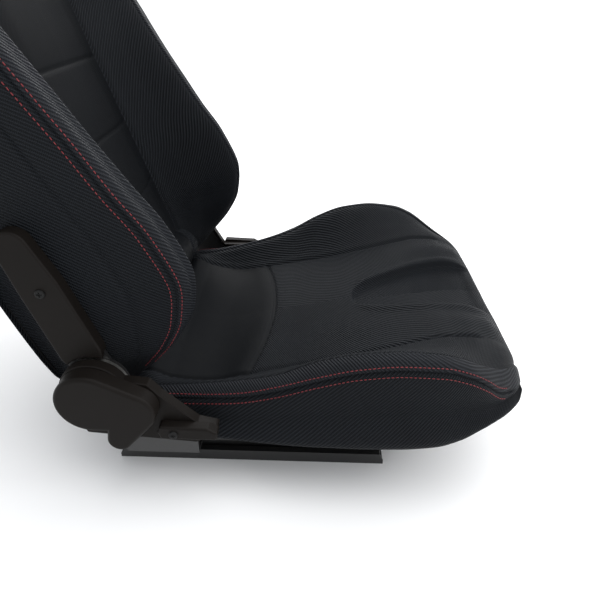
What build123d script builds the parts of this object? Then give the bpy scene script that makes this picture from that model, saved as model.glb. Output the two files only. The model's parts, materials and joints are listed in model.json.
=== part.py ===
from build123d import *
import os
from math import acos, atan2, cos, hypot, pi, radians, sin

os.makedirs("parts", exist_ok=True)

# Reclining racing seat on a pair of floor slides.
# Row frame: origin at the centre of the four floor bolts, on the underside of the lower rails.
# +Z is up, -Y is the front of the seat, +X is the occupant's left.

# ---------------------------------------------------------------- driving dimensions (mm)
PIVOT_Y = 176.0
PIVOT_Z = 160.0
BACK_ANGLE = 17.8            # lean of the backrest from upright, degrees
BACK_FOOT_Y = 148.0          # lowest point of the back insert
BACK_FOOT_Z = 157.0

RAIL_X = 195.0               # half the distance between the rails
RAIL_LENGTH = 370.0
RAIL_WIDTH = 36.0
RAIL_HEIGHT = 18.0
RAIL_WALL = 2.5
LIP_WIDTH = 9.0
FLOOR_BOLT_Y = 168.0
FLOOR_BOLT_R = 4.25
RAIL_END_BEVEL = 6.0

UPPER_LENGTH = 300.0
UPPER_WIDTH = 24.0
UPPER_WEB = 10.0
UPPER_FOOT_Z = 8.7
UPPER_TOP_Z = 34.0

ROLLER_R = 2.8
ROLLER_LENGTH = 16.0
CAGE_LENGTH = 190.0

MEMBER_TOP_Z = 60.0
MEMBER_WALL = 2.0
CROSS_TUBE_WALL = 1.6
REAR_TUBE = (130.0, 47.0, 10.0)      # Y, Z, radius
FRONT_TUBE = (-215.0, 73.0, 8.5)

SPRING_R = 1.8
SPRING_SWING = 20.0
SPRING_TURNS = 13

ARM_X0 = 236.0               # inner face of the steel arm
ARM_X1 = 241.0
BRACKET_X0 = 253.0           # inner face of the lower recliner bracket
BRACKET_X1 = 257.0
COVER_INNER_X = 248.6        # open edge of the lower cover
COVER_X0 = 259.5             # inner side of its face
COVER_X1 = 262.0
LEDGE_X = 275.0
LEVER_X0 = 263.0
LEVER_X1 = 284.0

RING_R = 37.0
RING_X1 = 248.6
TOOTH_TIP_R = 30.0
TOOTH_GAP_R = 1.12           # radius of each round-bottomed gap between teeth
TOOTH_COUNT = 60
PAWL_X0 = 243.3
PAWL_X1 = 248.8
GUIDE_X0 = 249.0             # inner face of the fixed disc behind the pawls
ROD_R = 5.0
ROD_CLEARANCE = 0.3
CAM_SENSE = -1.0             # the lever turns about -X; its nose rises as it is pulled
CAM_SLOT_R = 11.0
PAWL_HALF_WIDTH = 10.0
PAWL_TRAVEL = 2.5            # inward travel at full lever pull
LEVER_PULL = 25.0            # degrees

HOOP_X = 206.0
HOOP_DEPTH = 38.0            # behind the face of the back insert
HOOP_R = 11.0
HOOP_TOP = 535.0
ARM_BOLTS = (88.0, 165.0)    # distance up the back of the two arm bolts
ARM_BOLT_DEPTH = 34.0
ARM_BOLT_R = 5.0
ARM_FOOT = (62.0, -22.0)     # distance up the back, and forward of the insert
ARM_SCREW = (146.0, -22.0)
ARM_COVER_X0 = 233.4
ARM_COVER_X1 = 249.5
COVER_SCREW = (84.0, 110.0)  # Y, Z of the screw in the lower cover's ledge
SCREW_HOLE_R = 2.0
BRACKET_SCREW_HOLE_R = 2.1
FOAM_DEPTH = 48.8            # rear face of the foam between the hoop's legs
PAN_DEPTH = 49.3
SHELL_DEPTH = 84.0

HARNESS_S = 596.0
HARNESS_X = 90.0
HARNESS_WIDTH = 62.0
HARNESS_HEIGHT = 40.0
BEZEL_FRONT = 19.0            # how far the slot's frame stands in front of the insert

BAR_PIVOT = (-150.0, 44.0)
BAR_FRONT_Y = -246.0
BAR_Z = 38.0
LATCH_X = 175.5

GAP = 0.4                    # clearance between neighbouring soft pads
CUSHION_CLEAR_R = 43.0       # hollow in the rear of the cushion, round the pivot
BACK_ROLL_R = 41.0
PAD_BORE_R = 9.0             # room for the cross rod
FOOT_BOLT_HOLE_R = 4.3
LATCH_THICKNESS = 3.0
WIDE = 300.0                 # half length of a cutter that passes both sides


# ---------------------------------------------------------------- helpers
def export(shape, name):
    export_step(shape, f"parts/{name}.step")


def export_pair(make, name):
    """Write the left piece, and its mirror image as the right one."""
    left = make()
    export(left, f"{name}_left")
    export(mirror(left, about=Plane.YZ), f"{name}_right")


def both_sides(shape):
    return [shape, mirror(shape, about=Plane.YZ)]


def block(x0, x1, y0, y1, z0, z1):
    return Pos((x0 + x1) / 2, (y0 + y1) / 2, (z0 + z1) / 2) * Box(x1 - x0, y1 - y0, z1 - z0)


def side_rod(radius, x0, x1, y, z):
    """A cylinder lying along X."""
    return Pos((x0 + x1) / 2, y, z) * Rot(0, 90, 0) * Cylinder(radius, x1 - x0)


def side_ring(outer, inner, x0, x1, y, z):
    return side_rod(outer, x0, x1, y, z) - side_rod(inner, x0 - 1, x1 + 1, y, z)


def side_plate(outline, x0, x1):
    """A sketch drawn in (Y, Z), extruded from x0 to x1."""
    plane = Plane(origin=(x0, 0, 0), x_dir=(0, 1, 0), z_dir=(1, 0, 0))
    return extrude(plane * outline, x1 - x0, dir=(1, 0, 0))


def outline(*points):
    return Polygon(*points, align=None)


def disc_at(y, z, radius):
    return Pos(y, z) * Circle(radius)


def tangent_pair(a, b):
    """The outline round two circles, each (y, z, radius)."""
    distance = hypot(b[0] - a[0], b[1] - a[1])
    heading = atan2(b[1] - a[1], b[0] - a[0])
    spread = acos((a[2] - b[2]) / distance)
    corners = []
    for circle, turns in ((a, (spread, -spread)), (b, (-spread, spread))):
        for turn in turns:
            angle = heading + turn
            corners.append((circle[0] + circle[2] * cos(angle), circle[1] + circle[2] * sin(angle)))
    return outline(*corners) + disc_at(*a) + disc_at(*b)


def back_yz(along, forward):
    """(Y, Z) of a point on the leaning back: distance up it, and distance in front of the insert."""
    lean = radians(BACK_ANGLE)
    y = BACK_FOOT_Y + along * sin(lean) - forward * cos(lean)
    z = BACK_FOOT_Z + along * cos(lean) + forward * sin(lean)
    return y, z


def back_plane(along):
    """Plane square to the back: local x is X, local y points to the rear."""
    y, z = back_yz(along, 0)
    lean = radians(BACK_ANGLE)
    return Plane(origin=(0, y, z), x_dir=(1, 0, 0), z_dir=(0, sin(lean), cos(lean)))


def back_block(x0, x1, s0, s1, rear0, rear1):
    """A box in the leaning frame of the back."""
    plane = back_plane(s0)
    sketch = Pos((x0 + x1) / 2, (rear0 + rear1) / 2) * Rectangle(x1 - x0, rear1 - rear0)
    return extrude(plane * sketch, s1 - s0, dir=plane.z_dir)


def back_rod(radius, x, s0, s1, rear):
    plane = back_plane(s0)
    return extrude(plane * (Pos(x, rear) * Circle(radius)), s1 - s0, dir=plane.z_dir)


def back_face(forward):
    """Plane along the back: local x is X, local y runs up the back, and its normal points forward."""
    y, z = back_yz(0, forward)
    lean = radians(BACK_ANGLE)
    return Plane(origin=(0, y, z), x_dir=(1, 0, 0), z_dir=(0, -cos(lean), sin(lean)))


def hex_bolt(radius, head_r, head_h, length):
    """A bolt along +Z, its head below Z = 0 and its shank above."""
    head = extrude(RegularPolygon(head_r, 6), -head_h)
    return head + extrude(Circle(radius), length)


def pan_screw(radius, head_r, head_h, length):
    """A pan-head screw along +Z with a cross recess, its head below Z = 0."""
    head = Pos(0, 0, -head_h / 2) * Cylinder(head_r, head_h)
    head = fillet(head.faces().sort_by(Axis.Z)[0].edges(), head_h * 0.5)
    slot = Box(head_r * 1.1, head_r * 0.28, head_h)
    recess = Pos(0, 0, -head_h) * (slot + Rot(0, 0, 90) * slot)
    return head - recess + extrude(Circle(radius), length)


def aim_x(shape, x, y, z):
    """Turn a +Z fastener so that it points to -X, and put its seat at (x, y, z)."""
    return Pos(x, y, z) * Rot(0, -90, 0) * shape


# ---------------------------------------------------------------- floor slides
def lower_rail():
    half = RAIL_WIDTH / 2
    y0 = -RAIL_LENGTH / 2
    y1 = RAIL_LENGTH / 2
    rail = block(RAIL_X - half, RAIL_X + half, y0, y1, 0, RAIL_HEIGHT)
    inner = half - RAIL_WALL
    rail -= block(RAIL_X - inner, RAIL_X + inner, y0 - 1, y1 + 1, RAIL_WALL, RAIL_HEIGHT - RAIL_WALL)
    mouth = half - LIP_WIDTH
    rail -= block(RAIL_X - mouth, RAIL_X + mouth, y0 - 1, y1 + 1, RAIL_WALL, RAIL_HEIGHT + 1)
    for y in (-FLOOR_BOLT_Y, FLOOR_BOLT_Y):
        rail -= Pos(RAIL_X, y, 0) * Cylinder(FLOOR_BOLT_R, 4 * RAIL_WALL)
    latch_pitch = 12.0
    latch_rows = 19
    for row in range(latch_rows):
        y = (row - (latch_rows - 1) / 2) * latch_pitch - 6.0
        rail -= block(RAIL_X - half - 1, RAIL_X - half + 4, y - 3, y + 3, RAIL_HEIGHT - 4, RAIL_HEIGHT + 1)
    # the ends are cut on a slant
    for end in (-1, 1):
        wedge = outline((end * RAIL_LENGTH / 2, RAIL_HEIGHT - RAIL_END_BEVEL * 2),
                        (end * (RAIL_LENGTH / 2 - RAIL_END_BEVEL), RAIL_HEIGHT + 1),
                        (end * (RAIL_LENGTH / 2 + 5), RAIL_HEIGHT + 1))
        rail -= side_plate(wedge, RAIL_X - half - 1, RAIL_X + half + 1)
    return rail


def upper_rail():
    half = UPPER_WIDTH / 2
    y0 = -UPPER_LENGTH / 2
    y1 = UPPER_LENGTH / 2
    foot = block(RAIL_X - half, RAIL_X + half, y0, y1, UPPER_FOOT_Z, UPPER_FOOT_Z + RAIL_WALL)
    web_half = UPPER_WEB / 2
    web = block(RAIL_X - web_half, RAIL_X + web_half, y0, y1, UPPER_FOOT_Z, UPPER_TOP_Z)
    top = block(RAIL_X - half, RAIL_X + half, y0, y1, UPPER_TOP_Z - RAIL_WALL, UPPER_TOP_Z)
    return foot + web + top


ROLLER_Z = (RAIL_WALL + UPPER_FOOT_Z) / 2
ROLLER_YS = (-84.0, -28.0, 28.0, 84.0)


def roller_cage():
    thickness = 1.2
    half_width = ROLLER_LENGTH / 2 + 3
    cage = block(RAIL_X - half_width, RAIL_X + half_width, -CAGE_LENGTH / 2, CAGE_LENGTH / 2,
                 ROLLER_Z - thickness / 2, ROLLER_Z + thickness / 2)
    for y in ROLLER_YS:
        cage -= block(RAIL_X - ROLLER_LENGTH / 2 - 0.3, RAIL_X + ROLLER_LENGTH / 2 + 0.3,
                      y - ROLLER_R - 0.2, y + ROLLER_R + 0.2, 0, 10)
    return cage


def rail_rollers():
    rollers = []
    for y in ROLLER_YS:
        roller = side_rod(ROLLER_R, RAIL_X - ROLLER_LENGTH / 2, RAIL_X + ROLLER_LENGTH / 2, y, ROLLER_Z)
        rollers += both_sides(roller)
    return Compound(children=rollers)


# ---------------------------------------------------------------- base frame
FOOT_BOLT_YS = (76.0, 118.0)
MEMBER_X0 = RAIL_X - UPPER_WIDTH / 2
MEMBER_X1 = RAIL_X + UPPER_WIDTH / 2


def side_member():
    """Pressed channel, open to the inside, that rises towards the front."""
    shape = outline((150, UPPER_TOP_Z), (150, MEMBER_TOP_Z), (-60, MEMBER_TOP_Z), (-200, 84),
                    (-232, 84), (-232, 62), (-185, UPPER_TOP_Z))
    channel = side_plate(shape, MEMBER_X0, MEMBER_X1)
    for y in FOOT_BOLT_YS:
        channel -= Pos(RAIL_X, y, MEMBER_TOP_Z) * Cylinder(FOOT_BOLT_HOLE_R, 8)
    hollow = offset(shape, -MEMBER_WALL, kind=Kind.INTERSECTION)
    return channel - side_plate(hollow, MEMBER_X0 - 1, MEMBER_X1 - MEMBER_WALL)


def cross_tube(tube):
    y, z, radius = tube
    end = MEMBER_X1 - MEMBER_WALL
    return side_ring(radius, radius - CROSS_TUBE_WALL, -end, end, y, z)


def zigzag(x, swing, start, end, turns):
    """A zigzag wire spring between two (Y, Z) points."""
    points = [(x, *start)]
    for turn in range(turns):
        share = (turn + 1) / (turns + 1)
        shift = swing if turn % 2 else -swing
        y = start[0] + (end[0] - start[0]) * share
        z = start[1] + (end[1] - start[1]) * share
        points.append((x + shift, y, z))
    points.append((x, *end))
    path = FilletPolyline(*points, radius=6.5)
    profile = Plane(origin=path @ 0, z_dir=path % 0) * Circle(SPRING_R)
    return sweep(profile, path=path)


def cushion_springs():
    lift = SPRING_R + 0.1
    rear = (REAR_TUBE[0], REAR_TUBE[1] + REAR_TUBE[2] + lift)
    front = (FRONT_TUBE[0], FRONT_TUBE[1] + FRONT_TUBE[2] + lift)
    springs = []
    for x in (-120, -60, 0, 60, 120):
        springs.append(zigzag(x, SPRING_SWING, rear, front, SPRING_TURNS))
    return Compound(children=springs)


# ---------------------------------------------------------------- cushion
# stations from the rear to the front:
# Y, inner foot X, foot Z, crest X, crest Z, outer X, hem Z, underside Z
CUSHION_STATIONS = (
    (162, 168, 102, 203, 117, 216, 69, 69),
    (85, 166, 103, 206, 121, 222, 69, 69),
    (10, 160, 112, 212, 139, 237, 72, 73),
    (-80, 156, 132, 224, 180, 252, 80, 80),
    (-185, 154, 160, 233, 209, 256, 86, 89),
    (-262, 151, 182, 226, 190, 250, 98, 95),
    (-318, 150, 172, 206, 166, 232, 122, 104),
    (-348, 150, 152, 176, 150, 206, 132, 120),
)


def cushion_plane(y):
    """Plane square to Y: local x is X, local y is Z."""
    return Plane(origin=(0, y, 0), x_dir=(1, 0, 0), z_dir=(0, -1, 0))


def pivot_clearance():
    return side_rod(CUSHION_CLEAR_R, -WIDE, WIDE, PIVOT_Y, PIVOT_Z)


def cushion_bolster():
    sections = []
    for y, foot_x, foot_z, crest_x, crest_z, outer_x, hem_z, under_z in CUSHION_STATIONS:
        inner = foot_x + GAP
        sections.append(cushion_plane(y) * outline(
            (inner, under_z), (inner, foot_z), (crest_x - 24, crest_z - 8), (crest_x, crest_z),
            (outer_x - 5, crest_z - 10), (outer_x, (crest_z + hem_z) / 2), (outer_x - 5, hem_z),
            (outer_x - 26, under_z)))
    return loft(sections) - pivot_clearance()


def cushion_centre_pad():
    sections = []
    for y, foot_x, foot_z, _, _, _, _, under_z in CUSHION_STATIONS:
        dish = 10 if y > -330 else 2
        sections.append(cushion_plane(y) * outline(
            (-foot_x, under_z), (-foot_x, foot_z), (-60, foot_z - dish), (60, foot_z - dish),
            (foot_x, foot_z), (foot_x, under_z)))
    return loft(sections) - pivot_clearance()


# ---------------------------------------------------------------- recliner
def recliner_bracket():
    """Steel plate that carries the recliner, with a foot turned in over the side member."""
    lug = tangent_pair((PIVOT_Y, PIVOT_Z, 38), (112, 84, 20))
    web = outline((150, 58), (60, 58), (60, 82), (96, 100), (196, 140), (199, 130))
    plate = side_plate(lug + web, BRACKET_X0, BRACKET_X1)
    plate -= block(BRACKET_X0 - 1, BRACKET_X1 + 1, -50, 300, 0, MEMBER_TOP_Z)
    foot = block(MEMBER_X0, BRACKET_X1, 60, 150, MEMBER_TOP_Z, MEMBER_TOP_Z + 4)
    plate += foot
    plate -= side_rod(ROD_R + ROD_CLEARANCE, BRACKET_X0 - 1, BRACKET_X1 + 1, PIVOT_Y, PIVOT_Z)
    for y in FOOT_BOLT_YS:
        plate -= Pos(RAIL_X, y, MEMBER_TOP_Z + 2) * Cylinder(FOOT_BOLT_HOLE_R, 8)
    plate -= side_rod(BRACKET_SCREW_HOLE_R, BRACKET_X0 - 1, BRACKET_X1 + 1, 84, 90)
    return plate


def guide_disc():
    """Fixed half of the recliner: a disc with two blocks that guide the pawls."""
    disc = side_rod(35, GUIDE_X0, BRACKET_X0, PIVOT_Y, PIVOT_Z)
    core = side_rod(TOOTH_TIP_R - 0.6, PAWL_X0 - 0.1, GUIDE_X0, PIVOT_Y, PIVOT_Z)
    channel = PAWL_HALF_WIDTH + 0.15
    core -= block(243, 250, PIVOT_Y - channel, PIVOT_Y + channel, PIVOT_Z - 50, PIVOT_Z + 50)
    return disc + core - side_rod(ROD_R + ROD_CLEARANCE, 240, 260, PIVOT_Y, PIVOT_Z)


def recliner_shell():
    """Rolled band that holds the two halves of the recliner together."""
    return side_ring(RING_R + 1.6, RING_R + 0.3, 241.5, BRACKET_X0 - 0.2, PIVOT_Y, PIVOT_Z)


def tooth_gaps(radius, x0, x1):
    """Cutters for the round-bottomed gaps between teeth, at a radius round the pivot."""
    cutters = []
    for tooth in range(TOOTH_COUNT):
        angle = 2 * pi * tooth / TOOTH_COUNT
        y = PIVOT_Y + radius * cos(angle)
        z = PIVOT_Z + radius * sin(angle)
        cutters.append(side_rod(TOOTH_GAP_R, x0, x1, y, z))
    return cutters


def recliner_ring():
    """Toothed half of the recliner, fixed to the arm."""
    ring = side_ring(RING_R, TOOTH_TIP_R, ARM_X1, RING_X1, PIVOT_Y, PIVOT_Z)
    return ring - tooth_gaps(TOOTH_TIP_R, ARM_X1 - 1, RING_X1 + 1)


def pawl(direction):
    """Sliding tooth block, above (+1) or below (-1) the pivot, with its cam pin."""
    tip_r = TOOTH_TIP_R - 0.4
    rim = side_rod(tip_r, PAWL_X0, PAWL_X1, PIVOT_Y, PIVOT_Z)
    heel = 8.2
    z_near = PIVOT_Z + direction * heel
    z_far = PIVOT_Z + direction * 40
    span = block(PAWL_X0, PAWL_X1, PIVOT_Y - PAWL_HALF_WIDTH, PIVOT_Y + PAWL_HALF_WIDTH,
                 min(z_near, z_far), max(z_near, z_far))
    body = rim & span
    body -= tooth_gaps(tip_r, PAWL_X0 - 1, PAWL_X1 + 1)
    pin = side_rod(1.7, ARM_X1 + 0.4, PAWL_X0, PIVOT_Y, PIVOT_Z + direction * CAM_SLOT_R)
    return body + pin


def cam_plate():
    """Disc on the cross rod whose spiral slots draw the pawls in as the lever is pulled."""
    x0 = ARM_X1 + 0.4
    x1 = 243.0
    plate = side_ring(16.5, ROD_R, x0, x1, PIVOT_Y, PIVOT_Z)
    slot_half = 2.05
    steps = 7
    for start in (90, 270):
        marks = []
        for step in range(steps):
            share = step / (steps - 1)
            # the slot runs ahead of the pin's place at rest, and closes in on the rod
            turn = radians(start - CAM_SENSE * LEVER_PULL * share)
            radius = CAM_SLOT_R - PAWL_TRAVEL * share
            marks.append((PIVOT_Y + radius * cos(turn), PIVOT_Z + radius * sin(turn)))
        for a, b in zip(marks, marks[1:]):
            track = tangent_pair((*a, slot_half), (*b, slot_half + 0.001))
            plate -= side_plate(track, x0 - 1, x1 + 1)
    return plate


def cross_rod():
    return side_rod(ROD_R, -278, 265, PIVOT_Y, PIVOT_Z)


# ---------------------------------------------------------------- covers and lever
LEVER_HUB = (PIVOT_Y, PIVOT_Z, 40.0)
LEVER_SHOULDER = (127.0, 148.0, 28.0)
LEVER_FINGER = (148.0, 104.0, 15.0)


def lever_outline():
    return tangent_pair(LEVER_HUB, LEVER_SHOULDER) + tangent_pair(LEVER_SHOULDER, LEVER_FINGER)


def recline_lever():
    """Moulded lever, hollow on its inner side, with a hub for the cross rod."""
    shape = lever_outline()
    body = side_plate(shape, LEVER_X0, LEVER_X1)
    outer_edges = body.faces().sort_by(Axis.X)[-1].edges()
    body = fillet(outer_edges, 5.0)
    wall = 3.2
    hollow = offset(shape, -wall, kind=Kind.ARC)
    body -= side_plate(hollow, LEVER_X0 - 1, LEVER_X1 - 4.5)
    body += side_rod(12, LEVER_X0, LEVER_X1 - 4, PIVOT_Y, PIVOT_Z)
    body -= side_rod(ROD_R, LEVER_X0 - 1, 278, PIVOT_Y, PIVOT_Z)
    return mirror(body, about=Plane.YZ)


COVER_WALL = 2.2
COVER_R = 41.4


# top line of the lower cover: the lever side has a shoulder behind the lever, the other side stays low
LEVER_SIDE_TOP = ((56, 118), (98, 160), (110, 176), (124, 178), (160, 180))
PLAIN_SIDE_TOP = ((56, 116), (101, 116), (134, 174), (160, 188))


def lower_cover(top):
    """Moulded cover over the lower bracket, with a forward ledge that carries its screw."""
    wedge = outline((206, 133), (196, 96), (60, 84), (36, 100), (30, 112), *top)
    wedge = fillet(wedge.vertices(), 4.0)
    plate = side_plate(wedge, COVER_INNER_X, COVER_X1)
    disc = side_rod(COVER_R, COVER_INNER_X, COVER_X1, PIVOT_Y, PIVOT_Z)
    cover = chamfer(plate.faces().sort_by(Axis.X)[-1].edges(), 1.2)
    cover += chamfer(disc.faces().sort_by(Axis.X)[-1].edges(), 1.2)
    cover -= side_plate(offset(wedge, -COVER_WALL, kind=Kind.ARC), COVER_INNER_X - 9, COVER_X0)
    cover -= side_rod(COVER_R - COVER_WALL, COVER_INNER_X - 9, COVER_X0, PIVOT_Y, PIVOT_Z)
    # the bracket's lower half leaves through the open underside
    cover -= block(COVER_INNER_X - 9, COVER_X0, 58, 202, 60, 99)
    ledge = outline((32, 101), (30, 112), (42, 119), (100, 121), (104, 112), (100, 101))
    ledge = side_plate(fillet(ledge.vertices(), 3.0), COVER_X1 - 1, LEDGE_X)
    cover += fillet(ledge.faces().sort_by(Axis.X)[-1].edges(), 3.0)
    cover -= side_rod(BRACKET_SCREW_HOLE_R, COVER_INNER_X, LEDGE_X + 1, *COVER_SCREW)
    cover -= side_rod(ROD_R + 1.0, COVER_INNER_X, LEDGE_X + 1, PIVOT_Y, PIVOT_Z)
    return cover


def pivot_cap():
    """Plain round cap on the side without the lever."""
    cap = side_rod(40, LEVER_X0, LEVER_X0 + 12, PIVOT_Y, PIVOT_Z)
    cap = fillet(cap.faces().sort_by(Axis.X)[-1].edges(), 5.0)
    cap -= side_rod(36.5, LEVER_X0 - 1, LEVER_X0 + 8.5, PIVOT_Y, PIVOT_Z)
    return cap


def arm_outline(margin):
    """Outline of the arm in (Y, Z): a strap up the back with a rounded head."""
    foot = (*back_yz(*ARM_FOOT), 26.0 - margin)
    waist = (*back_yz(150, -22), 24.5 - margin)
    head = (*back_yz(201, -24), 20.0 - margin)
    return tangent_pair(foot, waist) + tangent_pair(waist, head)


def arm_plate():
    shape = arm_outline(3.0) + disc_at(PIVOT_Y, PIVOT_Z, 38) + tangent_pair(
        (PIVOT_Y, PIVOT_Z, 30.0), (*back_yz(*ARM_FOOT), 23.0))
    plate = side_plate(shape, ARM_X0, ARM_X1)
    plate -= side_rod(ROD_R + ROD_CLEARANCE, ARM_X0 - 1, ARM_X1 + 1, PIVOT_Y, PIVOT_Z)
    for along in ARM_BOLTS:
        plate -= side_rod(ARM_BOLT_R, ARM_X0 - 1, ARM_X1 + 1, *back_yz(along, -ARM_BOLT_DEPTH))
    plate -= side_rod(SCREW_HOLE_R, ARM_X0 - 1, ARM_X1 + 1, *back_yz(*ARM_SCREW))
    return plate


def arm_cover():
    """Moulded cover over the arm, open towards the seat and ended by an arc round the recliner."""
    shape = arm_outline(0.0) - disc_at(PIVOT_Y, PIVOT_Z, 43)
    cover = side_plate(shape, ARM_COVER_X0, ARM_COVER_X1)
    cover = fillet(cover.faces().sort_by(Axis.X)[-1].edges(), 3.0)
    inner = offset(shape, -2.4, kind=Kind.ARC)
    cover -= side_plate(inner, ARM_COVER_X0 - 3, ARM_COVER_X1 - 2.5)
    # room for the steel arm where it runs down to the pivot
    cover -= side_plate(tangent_pair((PIVOT_Y, PIVOT_Z, 31.0), (*back_yz(*ARM_FOOT), 23.4)),
                        ARM_X0 - 5, ARM_X1 + 0.6)
    cover -= side_rod(SCREW_HOLE_R, ARM_COVER_X0 - 3, ARM_COVER_X1 + 1, *back_yz(*ARM_SCREW))
    return cover


def arm_bolts():
    bolts = []
    for along in ARM_BOLTS:
        y, z = back_yz(along, -ARM_BOLT_DEPTH)
        bolt = aim_x(hex_bolt(ARM_BOLT_R, 7.8, 4.5, ARM_X1 - HOOP_X + 2), ARM_X1, y, z)
        bolts += both_sides(bolt)
    return Compound(children=bolts)


def arm_spacers():
    """Sleeves between the hoop and the arm, fitted to the hoop's round side."""
    spacers = []
    for along in ARM_BOLTS:
        y, z = back_yz(along, -ARM_BOLT_DEPTH)
        spacer = side_ring(8.0, ARM_BOLT_R, HOOP_X, ARM_X0, y, z)
        spacer -= back_rod(HOOP_R, HOOP_X, along - 40, along + 40, HOOP_DEPTH)
        spacers += both_sides(spacer)
    return Compound(children=spacers)


def arm_cover_screws():
    y, z = back_yz(*ARM_SCREW)
    screw = aim_x(pan_screw(SCREW_HOLE_R, 5.5, 2.4, ARM_COVER_X1 - ARM_X0), ARM_COVER_X1, y, z)
    return Compound(children=both_sides(screw))


def lower_cover_screws():
    screw = aim_x(pan_screw(SCREW_HOLE_R, 5.5, 2.4, LEDGE_X - BRACKET_X1), LEDGE_X, *COVER_SCREW)
    return Compound(children=both_sides(screw))


def foot_bolts():
    """Bolts that hold each bracket's foot to its side member."""
    bolts = []
    for y in FOOT_BOLT_YS:
        bolt = Pos(RAIL_X, y, MEMBER_TOP_Z + 4) * Rot(180, 0, 0) * hex_bolt(4.2, 7.5, 3.4, 6)
        bolts += both_sides(bolt)
    return Compound(children=bolts)


# ---------------------------------------------------------------- backrest frame
def back_hoop():
    plane = back_face(-HOOP_DEPTH)
    corners = [(-HOOP_X, 32), (-HOOP_X, HOOP_TOP), (HOOP_X, HOOP_TOP), (HOOP_X, 32)]
    path = plane * FilletPolyline(*corners, radius=55)
    profile = Plane(origin=path @ 0, z_dir=path % 0) * (Circle(HOOP_R) - Circle(HOOP_R - 1.6))
    hoop = sweep(profile, path=path)
    for along in ARM_BOLTS:
        y, z = back_yz(along, -ARM_BOLT_DEPTH)
        for side in (-1, 1):
            x0 = min(side * (HOOP_X - 20), side * (HOOP_X + 20))
            hoop -= side_rod(ARM_BOLT_R, x0, x0 + 40, y, z)
    return hoop


def back_pan():
    """Sheet steel panel behind the centre pad, with a swaged rib."""
    pan = back_block(-HOOP_X, HOOP_X, 62, HOOP_TOP - 40, PAN_DEPTH, PAN_DEPTH + 1.5)
    for along in (170, 280, 390):
        rib = back_block(-150, 150, along, along + 26, PAN_DEPTH + 1.5, PAN_DEPTH + 6)
        pan += rib
        pan -= back_block(-148.5, 148.5, along + 1.5, along + 24.5, PAN_DEPTH - 1, PAN_DEPTH + 4.5)
    return pan


def back_cross_tube():
    y, z = back_yz(96, -(PAN_DEPTH + 1.5 + 9.0))
    return side_ring(9.0, 7.4, -198, 198, y, z)


HEAD_POST_X = 42.0


def head_posts():
    """Two tubes that stand on the hoop and stiffen the head section."""
    posts = []
    for x in (-HEAD_POST_X, HEAD_POST_X):
        post = back_rod(8.0, x, HOOP_TOP, 735, HOOP_DEPTH) - back_rod(6.4, x, HOOP_TOP - 1, 736, HOOP_DEPTH)
        y, z = back_yz(HOOP_TOP, -HOOP_DEPTH)
        posts.append(post - side_rod(HOOP_R, -100, 100, y, z))
    return Compound(children=posts)


# ---------------------------------------------------------------- backrest pads
# stations up the back: distance up, inner foot X, crest X, crest height, outer X
BACK_STATIONS = (
    (4, 131, 198, 34, 214),
    (40, 131, 204, 88, 227),
    (110, 130, 207, 124, 231),
    (220, 128, 208, 102, 232),
    (320, 126, 212, 76, 236),
    (410, 124, 222, 58, 247),
    (480, 124, 236, 62, 262),
    (522, 124, 234, 58, 258),
)
REAR_TURN_X = 222.0
PANEL_GAP = 1.6              # between the foam and the rear panel
PANEL_THICKNESS = 3.0


def hoop_room():
    """Space that the hoop, its bolts and its spacers take out of the foam."""
    room = []
    for side in (-1, 1):
        room.append(back_rod(HOOP_R + 1.2, side * HOOP_X, -10, HOOP_TOP + 20, HOOP_DEPTH))
        for along in ARM_BOLTS:
            x0 = min(side * HOOP_X, side * ARM_X0)
            room.append(side_rod(8.6, x0, x0 + ARM_X0 - HOOP_X, *back_yz(along, -ARM_BOLT_DEPTH)))
    room.append(side_rod(PAD_BORE_R, -WIDE, WIDE, PIVOT_Y, PIVOT_Z))
    room.append(back_block(-225, 225, 468, 550, HOOP_DEPTH - HOOP_R - 2, PAN_DEPTH + 8))
    return room


def back_bolster():
    sections = []
    for along, foot_x, crest_x, crest, outer_x in BACK_STATIONS:
        inner = foot_x + GAP
        rear_x = min(REAR_TURN_X, outer_x - 9)
        rear = SHELL_DEPTH if along > 5 else 60
        sections.append(back_plane(along) * outline(
            (inner, 0), (crest_x - 28, 8 - crest), (crest_x, -crest), (outer_x - 4, 12 - crest),
            (outer_x, 0), (outer_x - 2, rear - 6), (rear_x, rear), (rear_x, FOAM_DEPTH), (inner, FOAM_DEPTH)))
    return loft(sections) - hoop_room()


def back_centre_pad():
    sections = []
    for along, foot_x, _, _, _ in BACK_STATIONS:
        front = -8 if 60 < along < 460 else -2
        sections.append(back_plane(along) * outline(
            (-foot_x, FOAM_DEPTH), (-foot_x, 0), (-60, front),
            (60, front), (foot_x, 0), (foot_x, FOAM_DEPTH)))
    return loft(sections) - hoop_room()


def back_roll():
    """Rounded lower end of the back, inside the circle that clears the cushion."""
    roll = side_rod(BACK_ROLL_R, -212, 212, PIVOT_Y, PIVOT_Z)
    roll -= back_block(-WIDE, WIDE, 3.4, 200, -200, 200)
    return roll - side_rod(PAD_BORE_R, -WIDE, WIDE, PIVOT_Y, PIVOT_Z)


# distance up, half width, wing height at the sides
HEAD_STATIONS = ((523, 257, 52), (572, 222, 42), (625, 168, 36), (690, 137, 34), (742, 126, 26), (775, 96, 8))


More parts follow.
